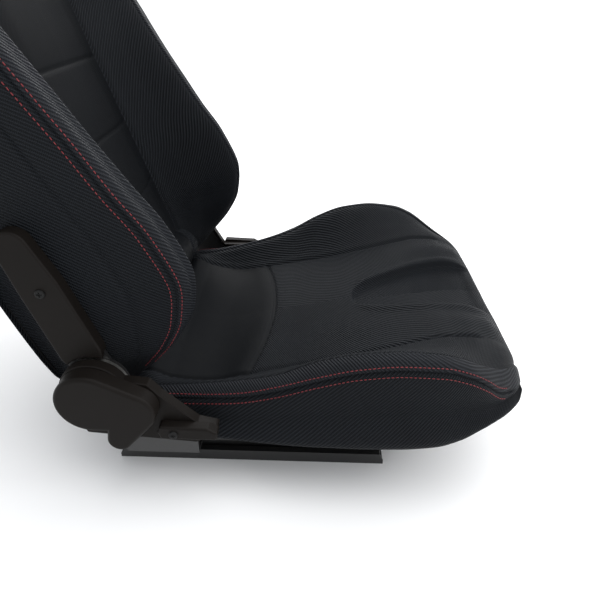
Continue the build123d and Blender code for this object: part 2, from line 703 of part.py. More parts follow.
def head_pad():
    """Padded head section, narrowing upwards, with the two harness slots."""
    sections = []
    for along, half, wing in HEAD_STATIONS:
        sections.append(back_plane(along) * outline(
            (-half, 0), (-half + 22, -wing), (-half + 62, -12), (half - 62, -12), (half - 22, -wing),
            (half, 0), (half - 3, SHELL_DEPTH - 8), (half - 12, SHELL_DEPTH - 0.2),
            (12 - half, SHELL_DEPTH - 0.2), (3 - half, SHELL_DEPTH - 8)))
    pad = loft(sections) - hoop_room()
    for x in (-HEAD_POST_X, HEAD_POST_X):
        pad -= back_rod(8.4, x, 520, 738, HOOP_DEPTH)
    for x in (-HARNESS_X, HARNESS_X):
        pad -= back_block(x - HARNESS_WIDTH / 2, x + HARNESS_WIDTH / 2,
                          HARNESS_S - HARNESS_HEIGHT / 2, HARNESS_S + HARNESS_HEIGHT / 2, -60, 100)
    return pad


def harness_bezel():
    """Moulded frame that lines one harness slot from the front to the back."""
    y, z = back_yz(HARNESS_S, BEZEL_FRONT)
    lean = radians(BACK_ANGLE)
    plane = Plane(origin=(HARNESS_X, y, z), x_dir=(1, 0, 0), z_dir=(0, cos(lean), -sin(lean)))
    inner = RectangleRounded(HARNESS_WIDTH - 8, HARNESS_HEIGHT - 8, 12)
    sleeve = RectangleRounded(HARNESS_WIDTH - 0.6, HARNESS_HEIGHT - 0.6, 14)
    flange = RectangleRounded(HARNESS_WIDTH + 12, HARNESS_HEIGHT + 12, 18)
    depth = BEZEL_FRONT + SHELL_DEPTH + 3
    bezel = extrude(plane * (sleeve - inner), depth)
    front = extrude(plane * (flange - inner), -3)
    return bezel + front


def rear_panel():
    """Trimmed board that closes the back of the seat."""
    stations = [(12, 206)]
    for along, _, _, _, outer_x in BACK_STATIONS[1:]:
        stations.append((along, outer_x - 6))
    for along, half, _ in HEAD_STATIONS[1:]:
        stations.append((along, half - 6))
    right = [(x, along) for along, x in stations]
    left = [(-x, along) for along, x in reversed(stations)]
    board = make_face(Polyline(*right, *left, close=True))
    panel = extrude(back_face(-SHELL_DEPTH - PANEL_GAP) * board, -PANEL_THICKNESS)
    for x in (-HARNESS_X, HARNESS_X):
        panel -= back_block(x - HARNESS_WIDTH / 2, x + HARNESS_WIDTH / 2,
                            HARNESS_S - HARNESS_HEIGHT / 2, HARNESS_S + HARNESS_HEIGHT / 2, 60, 100)
    return panel


# ---------------------------------------------------------------- slide release
def release_bar():
    """Bent tube under the front of the cushion that is lifted to free the slides."""
    x = LATCH_X + LATCH_THICKNESS / 2
    corners = [(x, -196, BAR_Z), (x, BAR_FRONT_Y, BAR_Z), (-x, BAR_FRONT_Y, BAR_Z), (-x, -196, BAR_Z)]
    path = FilletPolyline(*corners, radius=28)
    profile = Plane(origin=path @ 0, z_dir=path % 0) * (Circle(5.5) - Circle(4.1))
    return sweep(profile, path=path)


def latch_plates():
    """Plates that turn on the base frame, carry the bar, and hold the latch teeth."""
    pivot_y, pivot_z = BAR_PIVOT
    arm = tangent_pair((pivot_y, pivot_z, 9.0), (-190, BAR_Z, 5.6))
    tooth = outline((-172, 38), (-172, RAIL_HEIGHT + 0.4), (-166.5, RAIL_HEIGHT + 0.4), (-164, 38))
    plate = side_plate(arm + tooth, LATCH_X, LATCH_X + LATCH_THICKNESS)
    plate -= side_rod(4.05, LATCH_X - 1, LATCH_X + LATCH_THICKNESS + 1, pivot_y, pivot_z)
    x = LATCH_X + LATCH_THICKNESS / 2
    plate -= Pos(x, -193, BAR_Z) * Rot(90, 0, 0) * Cylinder(5.5, 6)
    return Compound(children=both_sides(plate))


def release_pins():
    pivot_y, pivot_z = BAR_PIVOT
    pin = side_rod(4.0, LATCH_X - 1, MEMBER_X1 - MEMBER_WALL, pivot_y, pivot_z)
    pin += side_rod(6.5, LATCH_X - 3, LATCH_X - 0.4, pivot_y, pivot_z)
    return Compound(children=both_sides(pin))


# ---------------------------------------------------------------- write every piece
export_pair(lower_rail, "lower_rail")
export_pair(upper_rail, "upper_rail")
export_pair(roller_cage, "roller_cage")
export(rail_rollers(), "rail_rollers")
export_pair(side_member, "side_member")
export(cross_tube(REAR_TUBE), "rear_cross_tube")
export(cross_tube(FRONT_TUBE), "front_cross_tube")
export(cushion_springs(), "cushion_springs")
export(cushion_centre_pad(), "cushion_centre_pad")
export_pair(cushion_bolster, "cushion_bolster")
export_pair(recliner_bracket, "recliner_bracket")
export_pair(guide_disc, "guide_disc")
export_pair(recliner_shell, "recliner_shell")
export_pair(recliner_ring, "recliner_ring")
export(Compound(children=both_sides(pawl(1))), "upper_pawls")
export(Compound(children=both_sides(pawl(-1))), "lower_pawls")
export(Compound(children=both_sides(cam_plate())), "cam_plates")
export(cross_rod(), "cross_rod")
export(recline_lever(), "recline_lever")
export(lower_cover(PLAIN_SIDE_TOP), "lower_cover_left")
export(mirror(lower_cover(LEVER_SIDE_TOP), about=Plane.YZ), "lower_cover_right")
export(pivot_cap(), "pivot_cap")
export_pair(arm_plate, "arm_plate")
export_pair(arm_cover, "arm_cover")
export(arm_bolts(), "arm_bolts")
export(arm_spacers(), "arm_spacers")
export(arm_cover_screws(), "arm_cover_screws")
export(lower_cover_screws(), "lower_cover_screws")
export(foot_bolts(), "foot_bolts")
export(back_hoop(), "back_hoop")
export(back_pan(), "back_pan")
export(back_cross_tube(), "back_cross_tube")
export(head_posts(), "head_posts")
export_pair(back_bolster, "back_bolster")
export(back_centre_pad(), "back_centre_pad")
export(back_roll(), "back_roll")
export(head_pad(), "head_pad")
export_pair(harness_bezel, "harness_bezel")
export(rear_panel(), "rear_panel")
export(release_bar(), "release_bar")
export(latch_plates(), "latch_plates")
export(release_pins(), "release_pins")
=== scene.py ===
import json
import math

import bmesh
import bpy
import numpy as np
from mathutils import Matrix, Vector


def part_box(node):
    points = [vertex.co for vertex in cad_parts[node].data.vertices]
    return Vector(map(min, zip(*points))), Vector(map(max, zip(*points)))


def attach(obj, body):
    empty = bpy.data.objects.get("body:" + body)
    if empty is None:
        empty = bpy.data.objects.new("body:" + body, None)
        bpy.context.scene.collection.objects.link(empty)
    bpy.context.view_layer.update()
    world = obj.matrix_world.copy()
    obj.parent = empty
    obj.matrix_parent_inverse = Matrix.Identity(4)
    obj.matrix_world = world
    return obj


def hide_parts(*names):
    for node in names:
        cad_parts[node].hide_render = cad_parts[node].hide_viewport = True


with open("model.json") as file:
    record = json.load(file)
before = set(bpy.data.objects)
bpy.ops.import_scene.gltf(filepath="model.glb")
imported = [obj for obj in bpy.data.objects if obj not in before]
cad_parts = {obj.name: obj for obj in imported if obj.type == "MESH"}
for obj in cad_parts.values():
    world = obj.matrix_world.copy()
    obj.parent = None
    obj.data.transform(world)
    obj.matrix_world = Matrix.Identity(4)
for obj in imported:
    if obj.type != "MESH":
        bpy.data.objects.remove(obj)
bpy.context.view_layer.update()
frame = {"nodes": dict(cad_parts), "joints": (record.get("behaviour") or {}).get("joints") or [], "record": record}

MM = 0.001

# ---------------------------------------------------------------- shared places, from the frame
JOINTS = {joint["name"]: joint for joint in frame["joints"]}
PIVOT = Vector(JOINTS["recline"]["pos_m"])
LEAN = math.radians(17.8)       # lean of the backrest behind the vertical
FOOT_AHEAD = 28 * MM            # the foot of the insert's face is this far ahead of the hinge line
FOOT_BELOW = 3 * MM             # and this far below it
BACK_FOOT = Vector((0.0, PIVOT.y - FOOT_AHEAD, PIVOT.z - FOOT_BELOW))
UP_BACK = Vector((0.0, math.sin(LEAN), math.cos(LEAN)))
OUT_BACK = Vector((0.0, -math.cos(LEAN), math.sin(LEAN)))


# ---------------------------------------------------------------- curves
def catmull(values, at):
    """Smooth curve through values at 0, 1, 2, ..., read at the given places."""
    values = np.asarray(values, float)
    at = np.asarray(at, float)
    last = len(values) - 1
    i = np.clip(np.floor(at).astype(int), 0, last - 1)
    t = at - i
    p0 = values[np.maximum(i - 1, 0)]
    p1 = values[i]
    p2 = values[i + 1]
    p3 = values[np.minimum(i + 2, last)]
    if values.ndim > 1:
        t = t[:, None]
    return 0.5 * (2 * p1 + (p2 - p0) * t + (2 * p0 - 5 * p1 + 4 * p2 - p3) * t ** 2
                  + (3 * p1 - 3 * p2 + p3 - p0) * t ** 3)


def through(stations, values, at):
    """Smooth curve through (station, value) pairs without overshoot."""
    x = np.asarray(stations, float)
    y = np.asarray(values, float)
    at = np.clip(np.asarray(at, float), x[0], x[-1])
    gap = np.diff(x)
    slope = np.diff(y) / gap
    tangent = np.zeros(len(x))
    tangent[0] = slope[0]
    tangent[-1] = slope[-1]
    for k in range(1, len(x) - 1):
        if slope[k - 1] * slope[k] > 0:
            a = 2 * gap[k] + gap[k - 1]
            b = gap[k] + 2 * gap[k - 1]
            tangent[k] = (a + b) / (a / slope[k - 1] + b / slope[k])
    i = np.clip(np.searchsorted(x, at, side="right") - 1, 0, len(x) - 2)
    t = (at - x[i]) / gap[i]
    return ((1 + 2 * t) * (1 - t) ** 2 * y[i] + t * (1 - t) ** 2 * gap[i] * tangent[i]
            + t * t * (3 - 2 * t) * y[i + 1] + t * t * (t - 1) * gap[i] * tangent[i + 1])


def groove(distance, width, depth):
    """Depth of a sewn groove at a distance from its seam."""
    return -depth * np.exp(-(distance / width) ** 2)


def ease(value, low, high):
    """Smooth step from 0 at low to 1 at high."""
    t = np.clip((value - low) / (high - low), 0, 1)
    return t * t * (3 - 2 * t)


# ---------------------------------------------------------------- meshes
def new_object(name, vertices, faces):
    """A smooth-shaded mesh object in the scene."""
    mesh = bpy.data.meshes.new(name)
    mesh.from_pydata([tuple(v) for v in vertices], [], faces)
    mesh.update()
    mesh.polygons.foreach_set("use_smooth", [True] * len(mesh.polygons))
    piece = bpy.data.objects.new(name, mesh)
    bpy.context.scene.collection.objects.link(piece)
    return piece


def grid_normals(points):
    """Unit normals of a grid that closes on itself along its second axis."""
    across = np.roll(points, -1, 1) - np.roll(points, 1, 1)
    along = np.gradient(points, axis=0)
    normal = np.cross(along, across)
    length = np.linalg.norm(normal, axis=2, keepdims=True)
    return normal / np.maximum(length, 1e-9)


def measure_sections(points, last):
    """Column numbers mirrored on to one half, and lengths in mm across the surface from column 0.

    The lengths come once for the half (run) and once for every column (run_all).
    """
    rows, columns, _ = points.shape
    index = np.arange(columns)
    column = np.repeat(np.where(index <= last, index, columns - index)[None, :], rows, 0)
    step = np.linalg.norm(np.roll(points, -1, 1) - points, axis=2) / MM
    run = np.concatenate([np.zeros((rows, 1)), np.cumsum(step[:, :last], 1)], 1)
    return column, run, np.take_along_axis(run, column, 1)


def seam(run, run_all, mark, width, depth):
    """Sewn groove along a seam column."""
    return groove(run_all - run[:, mark:mark + 1], width, depth)


def swell(run, run_all, first, last, height):
    """Padding that swells between two seam columns."""
    low = run[:, first:first + 1]
    high = run[:, last:last + 1]
    t = np.clip((run_all - low) / np.maximum(high - low, 1), 0, 1)
    return height * np.sin(t * math.pi) ** 0.8


END_ROWS = ((0.18, 0.35), (0.45, 0.7), (0.72, 0.92), (1.0, 1.0))     # share drawn in, share of the bulge
END_WIDTH = 0.985               # width of the closing line, as a share of the end section's


def middle_line(section):
    """The line halfway between a section's two faces, at each column's own place across."""
    half = len(section) // 2
    across = np.abs(section[:, 0])
    widest = int(np.argmax(across[:half + 1]))
    halves = (section[:widest + 1], section[widest:half + 1][::-1])
    line = np.array(section)
    for axis in (1, 2):
        faces = []
        for part in halves:
            places = np.maximum.accumulate(np.abs(part[:, 0]))
            faces.append(np.interp(across, places, part[:, axis]))
        line[:, axis] = (faces[0] + faces[1]) / 2
    line[:, 0] *= END_WIDTH
    return line


def close_ends(points, first_pull, last_pull):
    """Add rows that draw each end section together onto a line, bulging by the given vectors."""
    ends = []
    for row, pull in ((points[0], first_pull), (points[-1], last_pull)):
        line = middle_line(row)
        inward = 1 - (np.abs(row[:, :1]) / np.abs(row[:, 0]).max()) ** 4
        added = []
        for share, bulge in END_ROWS:
            added.append(row * (1 - share) + line * share + np.array(pull) * bulge * inward)
        ends.append(added)
    return np.concatenate([np.array(ends[0][::-1]), points, np.array(ends[1])])


def skin(name, points, panel_of, outward):
    """A closed tube of sections, with a UV map in metres and a material number for each face.

    A face whose number is below 0 is left open.
    """
    rows, columns, _ = points.shape
    step_u = np.linalg.norm(np.roll(points, -1, 1) - points, axis=2)
    step_v = np.linalg.norm(np.diff(points, axis=0), axis=2)
    u = np.concatenate([np.zeros((rows, 1)), np.cumsum(step_u, 1)], 1)
    u -= u[:, columns // 2:columns // 2 + 1]
    middle = step_v[:, columns // 2]
    v = np.concatenate([[0], np.cumsum(middle)])
    faces = []
    uvs = []
    panels = []
    for r in range(rows - 1):
        for c in range(columns):
            panel = panel_of[r, c]
            if panel < 0:
                continue
            n = (c + 1) % columns
            corners = [(r, c, c), (r, n, c + 1), (r + 1, n, c + 1), (r + 1, c, c)]
            if outward:
                corners.reverse()
            faces.append([a * columns + b for a, b, _ in corners])
            uvs += [(u[a, k], v[a]) for a, _, k in corners]
            panels.append(panel)
    piece = new_object(name, points.reshape(-1, 3), faces)
    layer = piece.data.uv_layers.new(name="metres")
    layer.data.foreach_set("uv", np.array(uvs, np.float32).ravel())
    piece.data.polygons.foreach_set("material_index", panels)
    work = bmesh.new()
    work.from_mesh(piece.data)
    bmesh.ops.remove_doubles(work, verts=work.verts, dist=1e-5)
    loose = [vertex for vertex in work.verts if not vertex.link_faces]
    bmesh.ops.delete(work, geom=loose, context="VERTS")
    bmesh.ops.recalc_face_normals(work, faces=work.faces)
    work.to_mesh(piece.data)
    work.free()
    return piece


STITCH_LENGTH = 0.0036
STITCH_GAP = 0.0016
STITCH_RADIUS = 0.00062
STITCH_SIDES = 6
# place along the stitch and share of its thickness
STITCH_RINGS = ((-0.5, 0.0), (-0.42, 0.75), (-0.2, 1.0), (0.2, 1.0), (0.42, 0.75), (0.5, 0.0))


def stitches(name, paths, material):
    """Short rounded threads along each path; a path is a list of (place, surface normal)."""
    vertices = []
    faces = []
    sides = STITCH_SIDES
    rings = STITCH_RINGS
    pitch = STITCH_LENGTH + STITCH_GAP
    for path in paths:
        places = np.array([p for p, _ in path])
        normals = np.array([n for _, n in path])
        run = np.concatenate([[0], np.cumsum(np.linalg.norm(np.diff(places, axis=0), axis=1))])
        count = int(run[-1] / pitch)
        for k in range(count):
            ends = []
            for d in (k * pitch, k * pitch + STITCH_LENGTH):
                ends.append(np.array([np.interp(d, run, places[:, a]) for a in range(3)]))
            middle = (ends[0] + ends[1]) / 2
            d = k * pitch + STITCH_LENGTH / 2
            up = np.array([np.interp(d, run, normals[:, a]) for a in range(3)])
            up /= np.linalg.norm(up)
            axis = ends[1] - ends[0]
            size = np.linalg.norm(axis)
            if size < STITCH_LENGTH * 0.3:
                continue
            axis /= size
            side = np.cross(axis, up)
            side /= np.linalg.norm(side)
            up = np.cross(side, axis)
            base = len(vertices)
            for place, share in rings:
                centre = middle + axis * place * size
                centre = centre + up * STITCH_RADIUS * 0.35 * (1 - abs(place) * 2.2)
                for s in range(sides):
                    turn = 2 * math.pi * s / sides
                    offset = (side * math.cos(turn) + up * math.sin(turn)) * STITCH_RADIUS
                    vertices.append(centre + offset * max(share, 0.15))
            for ring in range(len(rings) - 1):
                for s in range(sides):
                    n = (s + 1) % sides
                    a = base + ring * sides
                    faces.append([a + s, a + n, a + sides + n, a + sides + s])
            faces.append([base + s for s in reversed(range(sides))])
            faces.append([base + (len(rings) - 1) * sides + s for s in range(sides)])
    piece = new_object(name, vertices, faces)
    piece.data.materials.append(material)
    return piece


# ---------------------------------------------------------------- materials
class Nodes:
    """A short way to wire a material."""

    def __init__(self, name, colour, roughness):
        self.material = bpy.data.materials.new(name)
        self.material.use_nodes = True
        self.tree = self.material.node_tree
        self.shader = self.tree.nodes["Principled BSDF"]
        self.shader.inputs["Base Color"].default_value = (*colour, 1)
        self.shader.inputs["Roughness"].default_value = roughness
        self.material.diffuse_color = (*colour, 1)

    def add(self, kind, **settings):
        node = self.tree.nodes.new(kind)
        for key, value in settings.items():
            setattr(node, key, value)
        return node

    def link(self, source, target):
        self.tree.links.new(source, target)

    def math(self, operation, a, b=None):
        node = self.add("ShaderNodeMath", operation=operation)
        for socket, value in zip(node.inputs, (a, b)):
            if value is None:
                continue
            if isinstance(value, (int, float)):
                socket.default_value = value
            else:
                self.link(value, socket)
        return node.outputs[0]

    def noise(self, vector, scale, detail=3.0):
        node = self.add("ShaderNodeTexNoise")
        node.inputs["Scale"].default_value = scale
        node.inputs["Detail"].default_value = detail
        self.link(vector, node.inputs["Vector"])
        return node.outputs["Fac"]

    def metres(self):
        """The two directions of the cover's own UV map, in metres."""
        split = self.add("ShaderNodeSeparateXYZ")
        self.link(self.add("ShaderNodeUVMap", uv_map="metres").outputs["UV"], split.inputs[0])
        return split.outputs["X"], split.outputs["Y"]

    def wave(self, value, pitch):
        """Sine of a length, repeating at the given pitch."""
        return self.math("SINE", self.math("MULTIPLY", value, 2 * math.pi / pitch))

    def mixed(self, a, share_a, b, share_b):
        """Weighted sum of two values."""
        return self.math("ADD", self.math("MULTIPLY", a, share_a), self.math("MULTIPLY", b, share_b))

    def gloss(self, level):
        """Strength of the shader's own reflection."""
        self.shader.inputs["Specular IOR Level"].default_value = level

    def place(self):
        return self.add("ShaderNodeTexCoord").outputs["Object"]

    def scaled(self, value, low, high):
        node = self.add("ShaderNodeMapRange")
        node.inputs["To Min"].default_value = low
        node.inputs["To Max"].default_value = high
        self.link(value, node.inputs["Value"])
        return node.outputs["Result"]

    def colours(self, value, dark, light):
        node = self.add("ShaderNodeValToRGB")
        node.color_ramp.elements[0].color = (*dark, 1)
        node.color_ramp.elements[1].color = (*light, 1)
        self.link(value, node.inputs["Fac"])
        return node.outputs["Color"]

    def bump(self, height, distance, strength, after=None):
        node = self.add("ShaderNodeBump")
        node.inputs["Distance"].default_value = distance
        node.inputs["Strength"].default_value = strength
        self.link(height, node.inputs["Height"])
        if after is not None:
            self.link(after, node.inputs["Normal"])
        return node.outputs["Normal"]

    def finish(self, normal=None, colour=None, roughness=None):
        if normal is not None:
            self.link(normal, self.shader.inputs["Normal"])
        if colour is not None:
            self.link(colour, self.shader.inputs["Base Color"])
        if roughness is not None:
            self.link(roughness, self.shader.inputs["Roughness"])
        return self.material


RIB_PITCH = 0.0052              # along the map; 3.7 mm square to the ribs
FLOAT_PITCH = 0.0026
WEAVE_PITCH = 0.0024


def carbon_vinyl(name, dark, light, turn=1.0):
    """Carbon-look vinyl: pressed diagonal ribs of short twill floats. A turn of -1 mirrors the ribs."""
    n = Nodes(name, dark, 0.45)
    across, along = n.metres()
    warp = n.math("MULTIPLY", across, turn)
    ribs = n.wave(n.math("ADD", warp, along), RIB_PITCH)
    floats = n.wave(n.math("SUBTRACT", warp, along), FLOAT_PITCH)
    height = n.math("ADD", n.mixed(ribs, 0.38, floats, 0.12), 0.5)
    blotch = n.noise(n.place(), 9.0)
    colour = n.colours(n.mixed(height, 0.75, blotch, 0.3), dark, light)
    grain = n.noise(n.place(), 900.0, 2.0)
    normal = n.bump(height, 0.0013, 1.0)
    normal = n.bump(grain, 0.0002, 0.25, normal)
    n.gloss(0.09)
    return n.finish(normal, colour, n.scaled(height, 0.66, 0.46))


def smooth_vinyl(name, dark, light):
    """Smooth vinyl with a fine pressed weave, for the centre panels."""
    n = Nodes(name, dark, 0.5)
    across, along = n.metres()
    dimples = n.math("MULTIPLY", n.wave(across, WEAVE_PITCH), n.wave(along, WEAVE_PITCH))
    weave = n.math("ADD", n.math("MULTIPLY", dimples, 0.5), 0.5)
    blotch = n.noise(n.place(), 7.0)
    colour = n.colours(n.mixed(weave, 0.5, blotch, 0.5), dark, light)
    grain = n.noise(n.place(), 1400.0, 2.0)
    normal = n.bump(weave, 0.00045, 0.4)
    normal = n.bump(grain, 0.00015, 0.3, normal)
    n.gloss(0.06)
    return n.finish(normal, colour, n.scaled(blotch, 0.52, 0.66))


def grained_plastic(name, dark, light, roughness):
    """Moulded plastic with a fine spark-eroded grain and faint handling wear."""
    n = Nodes(name, dark, roughness)
    place = n.place()
    grain = n.noise(place, 1500.0, 3.0)
    cloud = n.noise(place, 14.0, 4.0)
    colour = n.colours(n.mixed(grain, 0.3, cloud, 0.7), dark, light)
    n.gloss(0.09)
    return n.finish(n.bump(grain, 0.00025, 0.5), colour, n.scaled(cloud, roughness - 0.08, roughness + 0.1))


def painted_steel():
    """Satin black paint with orange peel and a little dust."""
    n = Nodes("painted_steel", (0.016, 0.016, 0.018), 0.38)
    place = n.place()
    peel = n.noise(place, 260.0, 2.0)
    dust = n.noise(place, 11.0, 5.0)
    colour = n.colours(dust, (0.0045, 0.0045, 0.005), (0.014, 0.0138, 0.0135))
    n.shader.inputs["Coat Weight"].default_value = 0.2
    return n.finish(n.bump(peel, 0.0003, 0.25), colour, n.scaled(dust, 0.3, 0.5))


def plated_steel():
    """Zinc plating with fine drawing lines."""
    n = Nodes("plated_steel", (0.5, 0.5, 0.49), 0.32)
    place = n.place()
    stretch = n.add("ShaderNodeMapping")
    stretch.inputs["Scale"].default_value = (40.0, 900.0, 900.0)
    n.link(place, stretch.inputs["Vector"])
    lines = n.noise(stretch.outputs["Vector"], 1.0, 3.0)
    tint = n.noise(place, 45.0, 3.0)
    n.shader.inputs["Metallic"].default_value = 1.0
    colour = n.colours(tint, (0.36, 0.36, 0.34), (0.62, 0.61, 0.58))
    return n.finish(n.bump(lines, 0.0001, 0.2), colour, n.scaled(lines, 0.25, 0.42))


def thread(name, dark, light):
    """Twisted sewing thread."""
    n = Nodes(name, dark, 0.6)
    twist = n.add("ShaderNodeTexWave", wave_type="BANDS", bands_direction="DIAGONAL")
    twist.inputs["Scale"].default_value = 900.0
    n.link(n.place(), twist.inputs["Vector"])
    ply = twist.outputs["Fac"]
    return n.finish(n.bump(ply, 0.0002, 0.5), n.colours(ply, dark, light))


def floor_finish():
    """Plain pale floor with the faintest clouding."""
    n = Nodes("floor", (0.86, 0.86, 0.86), 0.7)
    cloud = n.noise(n.place(), 2.0, 2.0)
    return n.finish(colour=n.colours(cloud, (0.85, 0.85, 0.85), (0.88, 0.88, 0.88)))


CARBON_DARK = (0.0010, 0.0011, 0.0013)
CARBON_LIGHT = (0.0125, 0.0146, 0.0182)
CARBON = carbon_vinyl("carbon_vinyl", CARBON_DARK, CARBON_LIGHT)
CARBON_MIRROR = carbon_vinyl("carbon_vinyl_mirror", CARBON_DARK, CARBON_LIGHT, -1.0)
SMOOTH = smooth_vinyl("smooth_vinyl", (0.0018, 0.0021, 0.0026), (0.0046, 0.0053, 0.0066))
# Lighter copy of the carbon vinyl for the crest strips of the bolsters: a painted highlight where light falls on
# the crests.
PAINTED_HIGHLIGHT_BAND = carbon_vinyl("band_vinyl_painted_highlight", (0.0028, 0.0031, 0.0038), (0.019, 0.021, 0.0255))
PANEL = grained_plastic("panel_vinyl", (0.0045, 0.0045, 0.005), (0.012, 0.012, 0.0128), 0.55)
PLASTIC = grained_plastic("black_plastic", (0.0042, 0.0034, 0.0029), (0.0105, 0.0086, 0.0074), 0.48)
PAINT = painted_steel()
PLATED = plated_steel()
SCREW = grained_plastic("blackened_screw", (0.006, 0.006, 0.006), (0.02, 0.02, 0.02), 0.35)
RED = thread("red_thread", (0.075, 0.004, 0.006), (0.23, 0.014, 0.02))
WELT = smooth_vinyl("welt_vinyl", (0.004, 0.004, 0.0045), (0.011, 0.011, 0.0115))
FLOOR = floor_finish()


# ---------------------------------------------------------------- cushion
# stations from the rear to the front, all in millimetres
CUSHION = {
    "y": (171, 158, 140, 110, 60, 10, -40, -90, -140, -190, -235, -265, -290, -312, -330, -345, -354),
    "centre_z": (115, 120, 124, 111, 104, 111, 121, 133, 145, 155, 163, 167, 170, 171, 168, 160, 148),
    "foot_x": (170, 170, 169, 168, 165, 161, 158, 156, 155, 155, 154, 154, 154, 152, 150, 146, 140),
    "foot_z": (115, 120, 124, 112, 106, 113, 125, 136, 149, 163, 176, 182, 182, 177, 170, 160, 148),
    "crest_x": (202, 203, 204, 206, 212, 219, 226, 233, 239, 240, 238, 233, 225, 214, 201, 188, 174),
    "crest_z": (112, 117, 121, 124, 133, 145, 162, 189, 206, 212, 208, 198, 184, 171, 162, 154, 145),
    "seam_x": (211, 213, 215, 218, 223, 232, 242, 249, 253, 255, 254, 251, 245, 235, 221, 206, 190),
    "seam_z": (107, 110, 114, 116, 121, 132, 152, 175, 192, 199, 197, 188, 173, 154, 145, 141, 138),
    "side_x": (213, 216, 219, 222, 228, 239, 249, 255, 258, 259, 258, 254, 247, 235, 221, 206, 190),
    "hem_x": (209, 212, 214, 217, 222, 231, 241, 248, 251, 252, 251, 246, 238, 229, 216, 203, 187),
    "hem_z": (101, 84, 71, 71, 71, 73, 78, 81, 82, 84, 89, 98, 111, 122, 126, 128, 131),
    "under_z": (102, 84, 71, 71, 72, 75, 83, 89, 92, 95, 99, 103, 107, 113, 119, 124, 130),
}
CUSHION_ROWS = 270
ROW_CROWDING = 1.45             # above 1, rows crowd towards the rounded front
CUSHION_SPLIT = (0, 42, 76, 94, 112, 126, 144, 162, 174, 196)     # columns at each control point
FOOT_SEAM = CUSHION_SPLIT[2]    # at the foot of the bolster
SEAM_A = CUSHION_SPLIT[4] + 6   # below the crest
SEAM_B = CUSHION_SPLIT[6]       # stitched, outside the crest
HEM = CUSHION_SPLIT[8]          # lower edge of the side panel
SEAM_START = 160                # y of the seams' rear ends, mm
SEAM_EASE = 12                  # length over which a seam starts and ends, mm
SEAM_LENGTH = 500               # of seams A and B and the hem, mm
FOOT_SEAM_LENGTH = 470
FRONT_FADE = (325, 350)         # distances ahead of the origin over which padding flattens out, mm
CENTRE_FADE = (150, 176)        # distances from the middle over which the arc seam fades, mm
TONGUE_TIP = 145.0              # distance of the pressed tongue's tip ahead of the origin, mm
TONGUE_LENGTH = 200
TONGUE_HALF_WIDTH = 70          # where it opens to the front
TONGUE_CLOSES = (322, 352)
TONGUE_DEPTH = 8.5
NOSE_PULL = (0, -0.003, 0)      # bulge of the closed front end
TAIL_PULL = (0, 0.001, 0)


def half_section(points, counts):
    """Smooth curve through the control points, with a chosen number of columns between them."""
    places = []
    for k, (a, b) in enumerate(zip(counts, counts[1:])):
        places += [k + step / (b - a) for step in range(b - a)]
    places.append(len(counts) - 1)
    return catmull(points, places)


def cushion_points():
    """Closed sections of the cushion cover from rear to front, before its seams are pressed in."""
    y_marks = np.array(CUSHION["y"][::-1], float)
    tip = y_marks[0]
    rear = y_marks[-1]
    share = np.linspace(0, 1, CUSHION_ROWS)
    ys = rear + (tip - rear) * (1 - (1 - share) ** ROW_CROWDING)
    value = {key: through(y_marks, CUSHION[key][::-1], ys) for key in CUSHION if key != "y"}
    rows = []
    for k, y in enumerate(ys):
        v = {key: column[k] for key, column in value.items()}
        dish = (v["foot_x"] * 0.55, v["centre_z"] * 0.45 + v["foot_z"] * 0.55 + 1.0)
        wall = (v["foot_x"] * 0.55 + v["crest_x"] * 0.45, v["foot_z"] * 0.6 + v["crest_z"] * 0.4 - 1.0)
        shoulder = (v["crest_x"] - 13, v["crest_z"] - 3.0)
        side_mid = (v["side_x"], (v["seam_z"] + v["hem_z"]) / 2)
        half = half_section([
            (0, v["centre_z"]), dish, (v["foot_x"], v["foot_z"]), wall, shoulder,
            (v["crest_x"], v["crest_z"]), (v["seam_x"], v["seam_z"]), side_mid,
            (v["hem_x"], v["hem_z"]), (0, v["under_z"])], CUSHION_SPLIT)
        mirror = half[1:-1][::-1] * [-1, 1]
        loop = np.concatenate([half, mirror])
        rows.append([(x * MM, y * MM, z * MM) for x, z in loop])
    return close_ends(np.array(rows), TAIL_PULL, NOSE_PULL)


def cushion_panels(x, y, column):
    """Panel numbers: 0 carbon, 1 carbon with its ribs the other way, 2 smooth, 3 the crest strip between seams A
    and B in a lighter copy of the carbon vinyl, a painted highlight.
    """
    panel = np.where(x >= 0, 0, 1)
    middle = column < FOOT_SEAM
    panel = np.where(middle, 0, panel)
    panel = np.where(middle & (y > arc_seam_y(x)), 2, panel)
    # The crest strip between seams A and B takes the lighter vinyl as a painted highlight.
    highlight_band = (column >= SEAM_A) & (column < SEAM_B)
    return np.where(highlight_band, 3, panel)


def tongue_half_width(y):
    """Half width of the pressed tongue that opens to the front of the cushion."""
    t = np.clip((-y - TONGUE_TIP) / TONGUE_LENGTH, 0, 1)
    return TONGUE_HALF_WIDTH * t ** 0.36


def arc_seam_y(x):
    """Place of the curved seam between the smooth rear panel and the carbon one."""
    return -20 + 29 * (np.abs(x) / 172) ** 2


def sewn_length(y, length):
    """1 along a seam of the cushion, easing to 0 past its ends."""
    along = SEAM_START - y
    return ease(along, 0, SEAM_EASE) * (1 - ease(along, length - SEAM_EASE, length))


